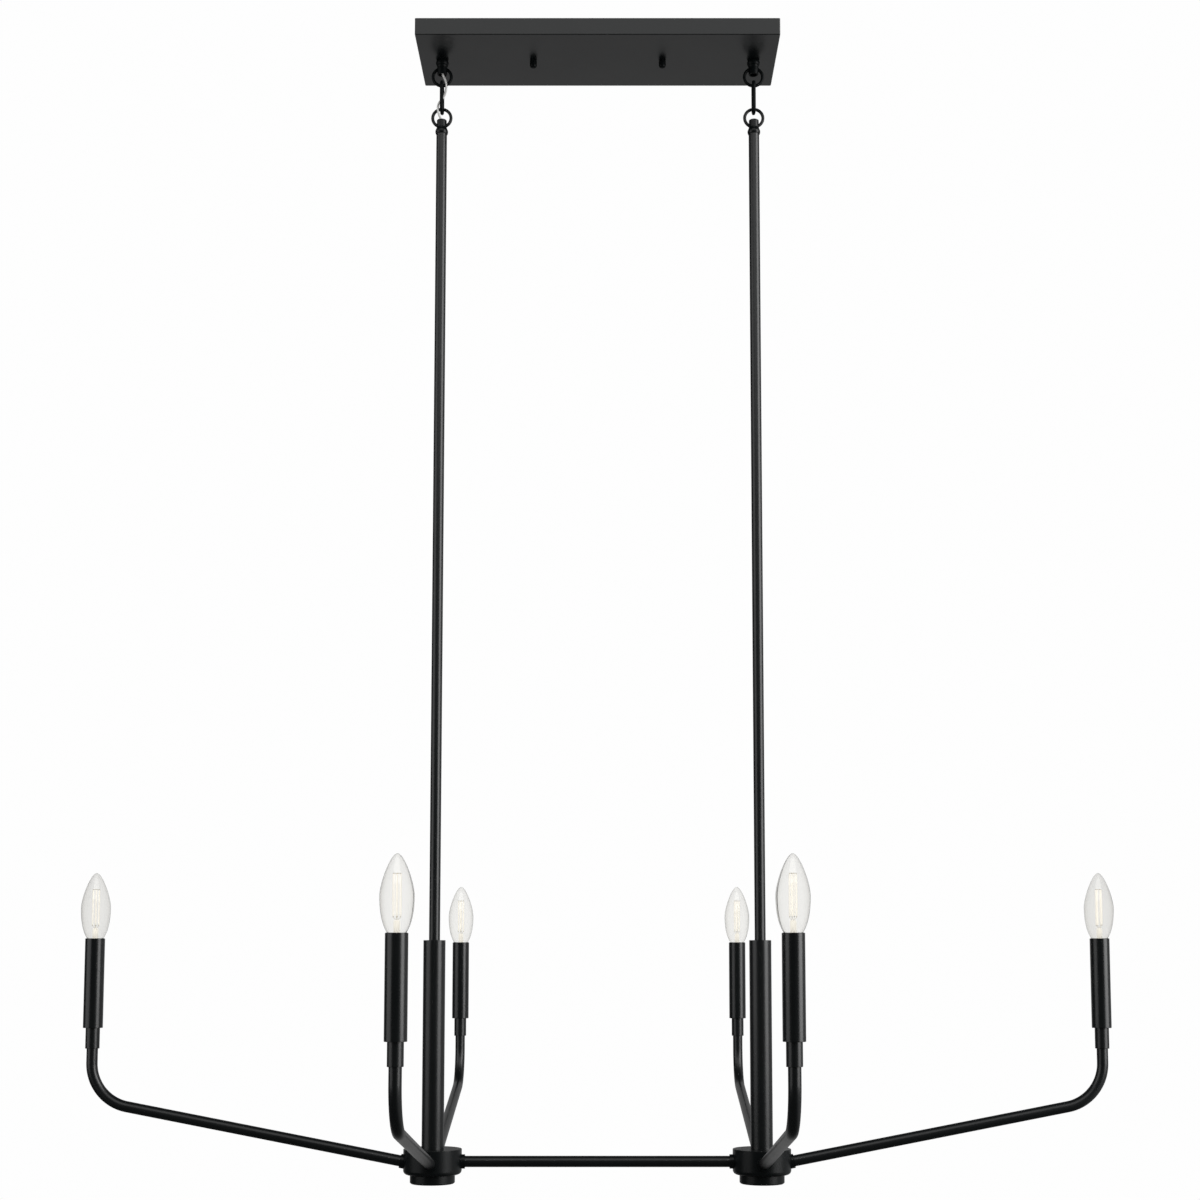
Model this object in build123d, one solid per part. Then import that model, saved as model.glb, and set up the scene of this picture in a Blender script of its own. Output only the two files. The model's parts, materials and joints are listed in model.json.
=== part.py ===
from build123d import *
import os
from math import radians, tan

# Six-light linear island pendant, in millimetres. Origin: centre of the ceiling plane, +Z up.
# The long side of the canopy and the bar between the two hubs lie along X, and the front is -Y.

INCH = 25.4
FIT = 0.05                  # radial clearance of a thread or slip fit
SEAT = 0.2                  # gap left under a piece that can be taken out

# ---- Layout seen from above
HUB_SPACING = 14 * INCH     # between the two suspension axes
ARM_REACH = 370.5           # from a hub's axis to a candle's axis
ARM_SLOPE = 11.0            # degrees, the arms rise outwards

# ---- Canopy and ceiling hardware
CANOPY_OVERHANG = 1 * INCH  # from a suspension axis to the canopy's end
CANOPY_LENGTH = HUB_SPACING + 2 * CANOPY_OVERHANG
CANOPY_WIDTH = 123.5
CANOPY_HEIGHT = 19.0
CANOPY_WALL = 1.2
CANOPY_CORNER = 1.5
CANOPY_EDGE = 0.8
STRAP_LENGTH = 170.0
STRAP_WIDTH = 22.0
STRAP_THICK = 1.9
STRAP_CORNER = 3.0
BOX_SLOT_SPACING = 79.4     # centres of the two outlet box slots
BOX_SLOT_LENGTH = 15.4
BOX_SLOT_RADIUS = 2.4
STUD_SPACING = 147.4
STUD_RADIUS = 2.1
STUD_TIP = 6.5              # length that stands out under the canopy
STUD_RECESS = 0.3           # the studs and the ground screw end just under the ceiling
STUD_HOLE_PLAY = 0.4
STUD_NUT_FLATS = 8.7
STUD_NUT_HEIGHT = 3.2
THUMB_NUT_RADIUS = 4.0
THUMB_NUT_HEIGHT = 8.5
THUMB_NUT_EDGE = 0.5
GROUND_SCREW_X = -18.0
GROUND_SCREW_RADIUS = 2.3
GROUND_HEAD_RADIUS = 4.4
GROUND_HEAD_HEIGHT = 3.0

# ---- Threaded pipe that joins loops, rods, columns, hubs and candles
PIPE_RADIUS = 5.15
PIPE_BORE = 3.75
PIPE_STAND_OUT = 1.6        # thread left showing past a nut
PIPE_NUT_FLATS = 14.3
PIPE_NUT_HEIGHT = 3.6
WASHER_RADIUS = 8.6
WASHER_THICK = 1.1
ROD_JOINT_DEPTH = 10.0      # thread inside each end of a rod
LOOP_THREAD = 5.0           # thread inside the seat of a loop

# ---- Loops: a bead and a hollow neck that carry a round ring
LOOP_HEIGHT = 19.5          # from the seat to the ring's centre
LOOP_RING = 10.4            # centreline radius
RING_WIRE = 3.5
NECK_RADIUS = 5.6
NECK_LENGTH = 16.8          # from the seat to the open end
NECK_BORE = 4.2
NECK_LIP = 0.4
BEAD_RADIUS = 7.25
BEAD_HEIGHT = 6.0
BEAD_SEAT_RADIUS = 6.3
GROOVE_HEIGHT = 0.5
FLARE_RADIUS = 6.2
FLARE_HEIGHT = 2.0

# ---- Chain links
LINK_WIRE = 4.0
LINK_LENGTH = 39.9          # overall
LINK_WIDTH = 17.5           # overall
LINK_SPLIT = 0.5            # gap where the wire's ends meet
LINK_SPLIT_DROP = 12.9      # from the link's top to the split
LINK_PLAY = 0.25            # gap between a link and the ring it hangs in

# ---- Rods, columns, hubs
ROD_LENGTH = 12 * INCH
ROD_COUNT = 3
ROD_RADIUS = 6.0
COLUMN_RADIUS = 12.0
COLUMN_WALL = 1.4
COLUMN_LENGTH = 224.4
BUSHING_HEIGHT = 6.0
HUB_RADIUS = 31.5
HUB_HEIGHT = 27.1
HUB_WALL = 3.0
HUB_EDGE = 4.5
HUB_TOP_EDGE = 0.6
CAP_RADIUS = 24.25
CAP_HEIGHT = 9.7
CAP_WALL = 2.2
CAP_EDGE = 1.2
CAP_SPIGOT = 3.0            # thread of the cap inside the hub's mouth

# ---- Arms, bar and collars
TUBE_RADIUS = 6.0
TUBE_WALL = 1.2
TUBE_ENTRY = 1.5            # length of an arm or the bar inside the hub, past its wall
ARM_BEND = 48.0             # centreline radius
ARM_UPRIGHT = 15.4          # straight tube between the bend and the cup
COLLAR_RADIUS = 7.65
COLLAR_LENGTH = 3.4

# ---- Candles
CUP_RADIUS = 7.55
CUP_LENGTH = 22.2
CUP_SOCKET = 13.0           # depth of the arm tube in its cup
CUP_EDGE = 0.3
SLEEVE_RADIUS = 10.5
SLEEVE_LENGTH = 96.8
SLEEVE_WALL = 1.2
SLEEVE_EDGE = 0.3
CANDLE_PIPE_GRIP = 5.0      # thread inside a cup, and inside a lamp socket
SOCKET_RADIUS = 8.6
SOCKET_DROP = 8.0           # from the sleeve's rim down to the socket's rim
SOCKET_FLOOR = 3.0
SOCKET_PLAY = 0.35          # around the lamp base
POST_WALL = 1.5

# ---- Lamps
LAMP_VISIBLE = 71.4         # glass above the sleeve
GLASS_RADIUS = 15.8
GLASS_WIDEST_DROP = 38.5    # from the tip to the widest part
GLASS_WALL = 0.8
GLASS_RIM_RADIUS = 8.9      # where the glass passes the sleeve's rim
GLASS_NECK_RADIUS = 6.6
GLASS_NECK_DROP = 7.4       # from the sleeve's rim to the end of the glass
# handles of the two Bezier spans of the glass: shares of its radius, then of each span's height
TIP_HANDLE = 0.39
SHOULDER_HANDLE = 0.31
BELLY_HANDLE = 0.71
TAPER_HANDLE = 0.06
MOUNT_RADIUS = 2.6          # the glass mount that carries the filaments
MOUNT_FOOT = 3.0
BASE_RADIUS = 5.85
BASE_LENGTH = 18.0
BASE_SHOULDER = 5.0
THREAD_COUNT = 4
THREAD_DEPTH = 0.5
CONTACT_RADIUS = 2.4
CONTACT_HEIGHT = 1.6
FILAMENT_COUNT = 4
FILAMENT_RADIUS = 0.85
FILAMENT_LENGTH = 40.0
FILAMENT_CIRCLE = 3.2
FILAMENT_TURN = 12.0        # degrees, from the X axis to the first filament
FILAMENT_DROP = 16.0        # from the glass tip to the upper ends
FILAMENT_FOOT = 0.8         # thickness of the plate under the filaments
FILAMENT_MARGIN = 0.5       # plate left outside the filaments
FILAMENT_WIRE = 0.3

# ---- Cords and wiring
CORD_RADIUS = 1.2
LEAD_RADIUS = 0.55
LEAD_SPREAD = 5.5
CABLE_RADIUS = 1.5
CORD_BEND = 6.0
CORD_RUN_HEIGHT = -8.5      # the cord's height inside the canopy
CONNECTOR_RADIUS = 4.5
CONNECTOR_TIP_RADIUS = 3.0
CONNECTOR_LENGTH = 20.0
CONNECTOR_X = -62.0
CONNECTOR_Y = 26.0
CORD_FORK = 18.0            # length of the single leads between the cord and the connectors
CORD_CROSSING = 39.0        # length in which the cord moves over from the axis to the connectors
LEAD_PITCH = 1.3            # between the leads where they leave the cord
GROUND_LEAD_TURN = (-66.0, 8.0, -6.0)
HUB_CONNECTOR_RADIUS = 7.5
HUB_CONNECTOR_HEIGHT = 12.0
HUB_CONNECTOR_GAP = 1.0     # under the end of the hub's pipe

# The free cord's route, chosen by hand: offset from the left axis, depth front to back, height.
# It leaves the canopy loop's bore, passes in front of the ring, goes through the link from its
# right to its left, passes in front of the lower ring and enters the rod loop's bore.
CORD_ROUTE = [
    (0.0, 0.0, -29.5),
    (0.0, 0.0, -35.0),
    (4.4, -4.3, -44.5),
    (5.6, -4.6, -54.5),
    (2.2, -0.9, -62.8),
    (-2.4, -0.3, -67.4),
    (-4.6, -4.4, -74.8),
    (-3.9, -3.6, -82.8),
    (0.0, 0.0, -90.8),
    (0.0, 0.0, -96.0),
]
CORD_SPLIT = 5              # the cord is divided halfway along the run that ends at this point
ARC_SHARE = 0.45            # share of the shorter run that an arc takes

# ---- Heights that follow from the sizes above
Z_CANOPY_FACE = -CANOPY_HEIGHT
WIRE_STEP = (RING_WIRE + LINK_WIRE) / 2 + LINK_PLAY
Z_UPPER_PIVOT = Z_CANOPY_FACE - LOOP_HEIGHT - LOOP_RING
Z_LINK_TOP = Z_UPPER_PIVOT + WIRE_STEP
Z_LINK_BOTTOM = Z_LINK_TOP - (LINK_LENGTH - LINK_WIRE)
Z_LOWER_PIVOT = Z_LINK_BOTTOM + WIRE_STEP
Z_ROD_TOP = Z_LOWER_PIVOT - LOOP_RING - LOOP_HEIGHT
Z_COLUMN_TOP = Z_ROD_TOP - ROD_COUNT * ROD_LENGTH
Z_HUB_TOP = Z_COLUMN_TOP - COLUMN_LENGTH
Z_HUB_MID = Z_HUB_TOP - HUB_HEIGHT / 2
Z_HUB_BOTTOM = Z_HUB_TOP - HUB_HEIGHT
ARM_RISE = tan(radians(ARM_SLOPE))
Z_ARM_CORNER = Z_HUB_MID + (ARM_REACH - HUB_RADIUS) * ARM_RISE
Z_CUP_BOTTOM = Z_ARM_CORNER + ARM_BEND * tan(radians(90 - ARM_SLOPE) / 2) + ARM_UPRIGHT
Z_CUP_FLOOR = Z_CUP_BOTTOM + CUP_SOCKET
Z_SLEEVE_BOTTOM = Z_CUP_BOTTOM + CUP_LENGTH
Z_SLEEVE_TOP = Z_SLEEVE_BOTTOM + SLEEVE_LENGTH
Z_LAMP_TIP = Z_SLEEVE_TOP + LAMP_VISIBLE
Z_GLASS_END = Z_SLEEVE_TOP - GLASS_NECK_DROP
Z_CONTACT = Z_GLASS_END - BASE_LENGTH - CONTACT_HEIGHT
Z_SOCKET_WELL = Z_CONTACT - SEAT
Z_SOCKET_UNDERSIDE = Z_SOCKET_WELL - SOCKET_FLOOR
Z_HUB_PIPE_END = Z_HUB_TOP - HUB_WALL - PIPE_NUT_HEIGHT - PIPE_STAND_OUT
Z_CONNECTOR_TOP = Z_HUB_PIPE_END - HUB_CONNECTOR_GAP
Z_FILAMENT_TOP = Z_LAMP_TIP - FILAMENT_DROP
Z_FILAMENT_BOTTOM = Z_FILAMENT_TOP - FILAMENT_LENGTH

PIPE_HOLE = PIPE_RADIUS + FIT
TUBE_START = HUB_RADIUS - HUB_WALL - TUBE_ENTRY     # an arm's inner end, from the hub's axis
HUB_MOUTH = CAP_RADIUS - CAP_WALL
AXIS_X = {"left": -HUB_SPACING / 2, "right": HUB_SPACING / 2}
ARM_ANGLES = {
    "left": {"end": 180, "front": -90, "back": 90},
    "right": {"end": 0, "front": -90, "back": 90},
}
BAR_ANGLES = {"left": 0, "right": 180}
FROM_BELOW = (Align.CENTER, Align.CENTER, Align.MIN)


# ---- Basic shapes
def cylinder(radius, low, high):
    return Pos(0, 0, low) * Cylinder(radius, high - low, align=FROM_BELOW)


def tube(radius, bore, low, high):
    return cylinder(radius, low, high) - cylinder(bore, low, high)


def turned(*outline):
    """A turned piece about Z, from its (radius, height) corners."""
    return revolve(Plane.XZ * make_face(Polyline(*outline, close=True)), Axis.Z)


def hex_nut(flats, bore, low, high):
    blank = Pos(0, 0, low) * extrude(RegularPolygon(flats / 2, 6, major_radius=False), high - low)
    return blank - cylinder(bore, low, high)


def wire_along(path, radius):
    start = Plane(origin=path @ 0, z_dir=path % 0)
    return sweep(start * Circle(radius), path=path)


def save(name, *shapes):
    solids = [solid for shape in shapes for solid in shape.solids()]
    whole = Compound(solids) if len(solids) > 1 else solids[0]
    export_step(whole, f"parts/{name}.step")


# ---- Ceiling side
def canopy_pan():
    outside = RectangleRounded(CANOPY_LENGTH, CANOPY_WIDTH, CANOPY_CORNER)
    inner_corner = max(CANOPY_CORNER - CANOPY_WALL, CANOPY_WALL / 4)
    inside = RectangleRounded(
        CANOPY_LENGTH - 2 * CANOPY_WALL, CANOPY_WIDTH - 2 * CANOPY_WALL, inner_corner
    )
    pan = extrude(outside, -CANOPY_HEIGHT)
    pan = fillet(pan.faces().sort_by(Axis.Z)[0].edges(), CANOPY_EDGE)
    pan -= extrude(inside, -(CANOPY_HEIGHT - CANOPY_WALL))
    for x in AXIS_X.values():
        pan -= Pos(x, 0) * cylinder(PIPE_HOLE, Z_CANOPY_FACE, 0)
    for x in (-STUD_SPACING / 2, STUD_SPACING / 2):
        pan -= Pos(x, 0) * cylinder(STUD_RADIUS + STUD_HOLE_PLAY, Z_CANOPY_FACE, 0)
    return pan


def mounting_strap():
    plate = RectangleRounded(STRAP_LENGTH, STRAP_WIDTH, STRAP_CORNER)
    for side in (-1, 1):
        slot = SlotOverall(BOX_SLOT_LENGTH, 2 * BOX_SLOT_RADIUS)
        plate -= Pos(side * BOX_SLOT_SPACING / 2, 0) * slot
        plate -= Pos(side * STUD_SPACING / 2, 0) * Circle(STUD_RADIUS + FIT)
    plate -= Pos(GROUND_SCREW_X, 0) * Circle(GROUND_SCREW_RADIUS + FIT)
    return extrude(plate, -STRAP_THICK)


def at_studs(piece):
    return [Pos(x, 0) * piece for x in (-STUD_SPACING / 2, STUD_SPACING / 2)]


def at_axes(piece):
    return [Pos(x, 0) * piece for x in AXIS_X.values()]


def thumb_nut():
    low = Z_CANOPY_FACE - THUMB_NUT_HEIGHT
    nut = cylinder(THUMB_NUT_RADIUS, low, Z_CANOPY_FACE)
    nut = chamfer(nut.faces().sort_by(Axis.Z)[0].edges(), THUMB_NUT_EDGE)
    return nut - cylinder(STUD_RADIUS + FIT, Z_CANOPY_FACE - STUD_TIP - SEAT, Z_CANOPY_FACE)


def ground_screw():
    head = cylinder(GROUND_HEAD_RADIUS, -STRAP_THICK - GROUND_HEAD_HEIGHT, -STRAP_THICK)
    shank = cylinder(GROUND_SCREW_RADIUS, -STRAP_THICK, -STUD_RECESS)
    return Pos(GROUND_SCREW_X, 0) * (head + shank)


def loop():
    """A loop standing on its seat at height 0, with its ring in the XZ plane."""
    groove = BEAD_HEIGHT + GROOVE_HEIGHT
    corners = [
        (BEAD_SEAT_RADIUS, BEAD_HEIGHT),
        (NECK_RADIUS, BEAD_HEIGHT),
        (NECK_RADIUS, groove),
        (FLARE_RADIUS, groove),
        (NECK_RADIUS, groove + FLARE_HEIGHT),
        (NECK_RADIUS, NECK_LENGTH - NECK_LIP),
        (NECK_RADIUS - NECK_LIP, NECK_LENGTH),
        (0, NECK_LENGTH),
        (0, 0),
        (BEAD_SEAT_RADIUS, 0),
    ]
    bead = ThreePointArc(corners[-1], (BEAD_RADIUS, BEAD_HEIGHT / 2), corners[0])
    outline = make_face([*Polyline(*corners).edges(), *bead.edges()])
    body = revolve(Plane.XZ * outline, Axis.Z)
    body += Pos(0, 0, LOOP_HEIGHT) * Rot(90, 0, 0) * Torus(LOOP_RING, RING_WIRE / 2)
    body -= cylinder(NECK_BORE, 0, NECK_LENGTH)
    return body - cylinder(PIPE_HOLE, 0, LOOP_THREAD)


def canopy_loop():
    return Pos(0, 0, Z_CANOPY_FACE) * Rot(180, 0, 0) * loop()


def rod_loop():
    return Pos(0, 0, Z_ROD_TOP) * loop()


# ---- Suspension
def chain_link():
    half = (LINK_WIDTH - LINK_WIRE) / 2
    top = Z_LINK_TOP - half
    bottom = Z_LINK_BOTTOM + half
    split = Z_LINK_TOP + LINK_WIRE / 2 - LINK_SPLIT_DROP
    lower_end = Vector(0, -half, split - LINK_SPLIT / 2)
    upper_end = Vector(0, -half, split + LINK_SPLIT / 2)
    route = [
        Line(lower_end, (0, -half, bottom)),
        ThreePointArc((0, -half, bottom), (0, 0, Z_LINK_BOTTOM), (0, half, bottom)),
        Line((0, half, bottom), (0, half, top)),
        ThreePointArc((0, half, top), (0, 0, Z_LINK_TOP), (0, -half, top)),
        Line((0, -half, top), upper_end),
    ]
    return wire_along(Wire([edge for line in route for edge in line.edges()]), LINK_WIRE / 2)


# ---- The free cord
def route_radii(points):
    """The arc at each inner point, as large as its two runs allow."""
    radii = []
    for before, point, after in zip(points, points[1:], points[2:]):
        run = min((point - before).length, (after - point).length)
        turn = (point - before).get_angle(after - point)
        radii.append(ARC_SHARE * run / tan(radians(turn) / 2))
    return radii


def cord_halves():
    points = [Vector(AXIS_X["left"] + x, y, z) for x, y, z in CORD_ROUTE]
    radii = route_radii(points)
    middle = (points[CORD_SPLIT - 1] + points[CORD_SPLIT]) / 2
    upper = FilletPolyline(*points[:CORD_SPLIT], middle, radius=radii[: CORD_SPLIT - 1])
    lower = FilletPolyline(middle, *points[CORD_SPLIT:], radius=radii[CORD_SPLIT - 1 :])
    print("cord radii", [round(radius, 1) for radius in radii])
    print("cord lengths", round(upper.length, 1), round(lower.length, 1))
    return [wire_along(half, CORD_RADIUS) for half in (upper, lower)]


# ---- Rods, columns and hubs
def rod_section(number):
    high = Z_ROD_TOP - number * ROD_LENGTH
    return tube(ROD_RADIUS, PIPE_HOLE, high - ROD_LENGTH, high)


def rod_nipples():
    """The threaded pipes of one side: loop to rod, rod to rod, rod to column, column to hub."""
    spans = [(Z_ROD_TOP - ROD_JOINT_DEPTH, Z_ROD_TOP + LOOP_THREAD - SEAT)]
    for number in range(1, ROD_COUNT):
        joint = Z_ROD_TOP - number * ROD_LENGTH
        spans.append((joint - ROD_JOINT_DEPTH, joint + ROD_JOINT_DEPTH))
    spans.append((Z_COLUMN_TOP - BUSHING_HEIGHT, Z_COLUMN_TOP + ROD_JOINT_DEPTH))
    spans.append((Z_HUB_PIPE_END, Z_HUB_TOP + BUSHING_HEIGHT))
    return [tube(PIPE_RADIUS, PIPE_BORE, low, high) for low, high in spans]


def column_bushings():
    radius = COLUMN_RADIUS - COLUMN_WALL - FIT
    spans = [
        (Z_COLUMN_TOP - BUSHING_HEIGHT, Z_COLUMN_TOP),
        (Z_HUB_TOP, Z_HUB_TOP + BUSHING_HEIGHT),
    ]
    return [tube(radius, PIPE_HOLE, low, high) for low, high in spans]


def from_hub(piece, angle, slope):
    """Lays a piece built along Z on the line that leaves the hub's wall at an angle and a slope."""
    return Rot(0, 0, angle) * Pos(HUB_RADIUS, 0, Z_HUB_MID) * Rot(0, 90 - slope, 0) * piece


def tube_lines(side):
    """The (angle, slope) of each tube that enters a hub: the arms, then the bar."""
    return [(angle, ARM_SLOPE) for angle in ARM_ANGLES[side].values()] + [(BAR_ANGLES[side], 0)]


def hub(side):
    body = cylinder(HUB_RADIUS, Z_HUB_BOTTOM, Z_HUB_TOP)
    body = fillet(body.faces().sort_by(Axis.Z)[0].edges(), HUB_EDGE)
    body = fillet(body.faces().sort_by(Axis.Z)[-1].edges(), HUB_TOP_EDGE)
    body -= cylinder(HUB_RADIUS - HUB_WALL, Z_HUB_BOTTOM + HUB_WALL, Z_HUB_TOP - HUB_WALL)
    body -= cylinder(HUB_MOUTH, Z_HUB_BOTTOM, Z_HUB_BOTTOM + HUB_WALL)
    body -= cylinder(PIPE_HOLE, Z_HUB_TOP - HUB_WALL, Z_HUB_TOP)
    for angle, slope in tube_lines(side):
        body -= from_hub(cylinder(TUBE_RADIUS + FIT, -2 * HUB_WALL, HUB_WALL), angle, slope)
    return body


def hub_cap():
    low = Z_HUB_BOTTOM - CAP_HEIGHT
    spigot = HUB_MOUTH - FIT
    return turned(
        (0, low),
        (CAP_RADIUS - CAP_EDGE, low),
        (CAP_RADIUS, low + CAP_EDGE),
        (CAP_RADIUS, Z_HUB_BOTTOM),
        (spigot, Z_HUB_BOTTOM),
        (spigot, Z_HUB_BOTTOM + CAP_SPIGOT),
        (spigot - CAP_WALL, Z_HUB_BOTTOM + CAP_SPIGOT),
        (spigot - CAP_WALL, low + CAP_WALL),
        (0, low + CAP_WALL),
    )


def collars(side):
    ring = tube(COLLAR_RADIUS, TUBE_RADIUS + FIT, -HUB_WALL, COLLAR_LENGTH)
    wall = cylinder(HUB_RADIUS, Z_HUB_BOTTOM, Z_HUB_TOP)
    return [from_hub(ring, angle, slope) - wall for angle, slope in tube_lines(side)]


def centre_bar():
    half = HUB_SPACING / 2 - TUBE_START
    return Pos(0, 0, Z_HUB_MID) * Rot(0, 90, 0) * tube(
        TUBE_RADIUS, TUBE_RADIUS - TUBE_WALL, -half, half
    )


# ---- Arms and candles
def arm_line(start, end):
    """An arm's centreline in the XZ plane, from a distance off the hub's axis up to a height."""
    return FilletPolyline(
        (start, 0, Z_HUB_MID + (start - HUB_RADIUS) * ARM_RISE),
        (ARM_REACH, 0, Z_ARM_CORNER),
        (ARM_REACH, 0, end),
        radius=ARM_BEND,
    )


def arm():
    line = arm_line(TUBE_START, Z_CUP_FLOOR - SEAT)
    return wire_along(line, TUBE_RADIUS) - wire_along(line, TUBE_RADIUS - TUBE_WALL)


def candle_cup():
    cup = cylinder(CUP_RADIUS, Z_CUP_BOTTOM, Z_SLEEVE_BOTTOM)
    cup = chamfer(cup.faces().sort_by(Axis.Z)[0].edges(), CUP_EDGE)
    cup -= cylinder(TUBE_RADIUS + FIT, Z_CUP_BOTTOM, Z_CUP_FLOOR)
    return cup - cylinder(PIPE_HOLE, Z_CUP_FLOOR, Z_SLEEVE_BOTTOM)


def candle_pipe():
    high = Z_SLEEVE_BOTTOM + SLEEVE_WALL + CANDLE_PIPE_GRIP
    return tube(PIPE_RADIUS, PIPE_BORE, Z_SLEEVE_BOTTOM - CANDLE_PIPE_GRIP, high)


def candle_sleeve():
    sleeve = cylinder(SLEEVE_RADIUS, Z_SLEEVE_BOTTOM, Z_SLEEVE_TOP)
    sleeve = chamfer(sleeve.edges().filter_by(GeomType.CIRCLE), SLEEVE_EDGE)
    floor = Z_SLEEVE_BOTTOM + SLEEVE_WALL
    sleeve -= cylinder(SLEEVE_RADIUS - SLEEVE_WALL, floor, Z_SLEEVE_TOP)
    return sleeve - cylinder(PIPE_HOLE, Z_SLEEVE_BOTTOM, floor)


def lamp_socket():
    """A moulded head that takes the lamp's base, on a hollow post that stands in the sleeve."""
    foot = Z_SLEEVE_BOTTOM + SLEEVE_WALL
    rim = Z_SLEEVE_TOP - SOCKET_DROP
    post = PIPE_HOLE + POST_WALL
    return turned(
        (PIPE_HOLE, foot),
        (post, foot),
        (post, Z_SOCKET_UNDERSIDE - POST_WALL),
        (SOCKET_RADIUS, Z_SOCKET_UNDERSIDE),
        (SOCKET_RADIUS, rim),
        (BASE_RADIUS + SOCKET_PLAY, rim),
        (BASE_RADIUS + SOCKET_PLAY, Z_SOCKET_WELL),
        (0, Z_SOCKET_WELL),
        (0, Z_SOCKET_UNDERSIDE),
        (PIPE_HOLE, Z_SOCKET_UNDERSIDE),
    )


# ---- Lamps
def glass_outline(wall):
    """The glass's profile, taken in by a wall, as a closed face from its axis to its neck."""
    tip = Vector(0, Z_LAMP_TIP - wall)
    widest = Vector(GLASS_RADIUS - wall, Z_LAMP_TIP - GLASS_WIDEST_DROP)
    rim = Vector(GLASS_RIM_RADIUS - wall, Z_SLEEVE_TOP)
    neck = Vector(GLASS_NECK_RADIUS - wall, Z_GLASS_END)
    rise = Vector(0, tip.Y - widest.Y)
    fall = Vector(0, widest.Y - rim.Y)
    taper = (rim - neck).normalized() * fall.length
    tip_handle = tip + Vector(widest.X, 0) * TIP_HANDLE
    upper = Bezier(tip, tip_handle, widest + rise * SHOULDER_HANDLE, widest)
    lower = Bezier(widest, widest - fall * BELLY_HANDLE, rim + taper * TAPER_HANDLE, rim)
    rest = Polyline(rim, neck, (0, Z_GLASS_END), tip)
    return make_face([*upper.edges(), *lower.edges(), *rest.edges()])


def lamp_glass():
    """The envelope, with the glass mount that rises from its neck to the filaments."""
    shell = revolve(Plane.XZ * glass_outline(0), Axis.Z)
    shell -= revolve(Plane.XZ * glass_outline(GLASS_WALL), Axis.Z)
    foot = cylinder(GLASS_NECK_RADIUS - GLASS_WALL / 2, Z_GLASS_END, Z_GLASS_END + GLASS_WALL)
    mount = turned(
        (0, Z_GLASS_END),
        (GLASS_NECK_RADIUS - 2 * GLASS_WALL, Z_GLASS_END),
        (MOUNT_RADIUS, Z_GLASS_END + MOUNT_FOOT),
        (MOUNT_RADIUS, Z_FILAMENT_BOTTOM - FILAMENT_FOOT),
        (0, Z_FILAMENT_BOTTOM - FILAMENT_FOOT),
    )
    return shell + foot + mount


def lamp_base():
    """The screw base, with one ridge for each turn of its thread, and its end contact."""
    low = Z_GLASS_END - BASE_LENGTH
    pitch = (BASE_LENGTH - BASE_SHOULDER) / THREAD_COUNT
    root = BASE_RADIUS - THREAD_DEPTH
    outline = [(0, Z_GLASS_END), (BASE_RADIUS, Z_GLASS_END)]
    for turn in range(THREAD_COUNT):
        ridge = Z_GLASS_END - BASE_SHOULDER - turn * pitch
        outline += [(BASE_RADIUS, ridge), (root, ridge - pitch / 2)]
    outline += [
        (root, low),
        (CONTACT_RADIUS, low - CONTACT_HEIGHT / 2),
        (CONTACT_RADIUS, Z_CONTACT),
        (0, Z_CONTACT),
    ]
    return turned(*outline)


def filament_set():
    """Upright filaments on a small plate, their upper ends joined by a thin ring of wire."""
    edge = FILAMENT_CIRCLE + FILAMENT_RADIUS + FILAMENT_MARGIN
    plate = cylinder(edge, Z_FILAMENT_BOTTOM - FILAMENT_FOOT, Z_FILAMENT_BOTTOM)
    whole = plate + Pos(0, 0, Z_FILAMENT_TOP) * Torus(FILAMENT_CIRCLE, FILAMENT_WIRE)
    strip = cylinder(FILAMENT_RADIUS, Z_FILAMENT_BOTTOM, Z_FILAMENT_TOP)
    for number in range(FILAMENT_COUNT):
        angle = FILAMENT_TURN + 360 * number / FILAMENT_COUNT
        whole += Rot(0, 0, angle) * Pos(FILAMENT_CIRCLE, 0) * strip
    return whole


# ---- Wiring held inside the pendant
def canopy_wiring():
    """The cord from the left loop across the canopy, and its leads to connectors and ground."""
    fork = Vector(CONNECTOR_X - CORD_FORK, CONNECTOR_Y, CORD_RUN_HEIGHT)
    left = AXIS_X["left"]
    cord = FilletPolyline(
        (left, 0, CORD_ROUTE[0][2]),
        (left, 0, CORD_RUN_HEIGHT),
        (left + CORD_CROSSING, CONNECTOR_Y, CORD_RUN_HEIGHT),
        fork,
        radius=CORD_BEND,
    )
    reach = Vector(CORD_FORK / 3, 0, 0)
    screw_side = Vector(
        GROUND_SCREW_X - GROUND_HEAD_RADIUS, 0, -STRAP_THICK - GROUND_HEAD_HEIGHT / 2
    )
    mouths = [
        Vector(CONNECTOR_X, CONNECTOR_Y + side * LEAD_SPREAD, CORD_RUN_HEIGHT) for side in (-1, 1)
    ]
    # each lead runs straight out of the cord and straight into what it meets
    ends = [
        [Vector(*GROUND_LEAD_TURN), screw_side - reach, screw_side],
        *[[mouth - reach, mouth] for mouth in mouths],
    ]
    pieces = [wire_along(cord, CORD_RADIUS)]
    for number, end in enumerate(ends):
        start = fork + Vector(0, (number - 1) * LEAD_PITCH, 0)
        lead = FilletPolyline(start, start + reach, *end, radius=CORD_BEND / 2)
        pieces.append(wire_along(lead, LEAD_RADIUS))
    return pieces


def wire_connectors():
    """Two conical connectors lying along X, their mouths towards the cord."""
    cone = Rot(0, 90, 0) * Cone(
        CONNECTOR_RADIUS, CONNECTOR_TIP_RADIUS, CONNECTOR_LENGTH, align=FROM_BELOW
    )
    places = [CONNECTOR_Y + side * LEAD_SPREAD for side in (-1, 1)]
    return [Pos(CONNECTOR_X, y, CORD_RUN_HEIGHT) * cone for y in places]


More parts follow.
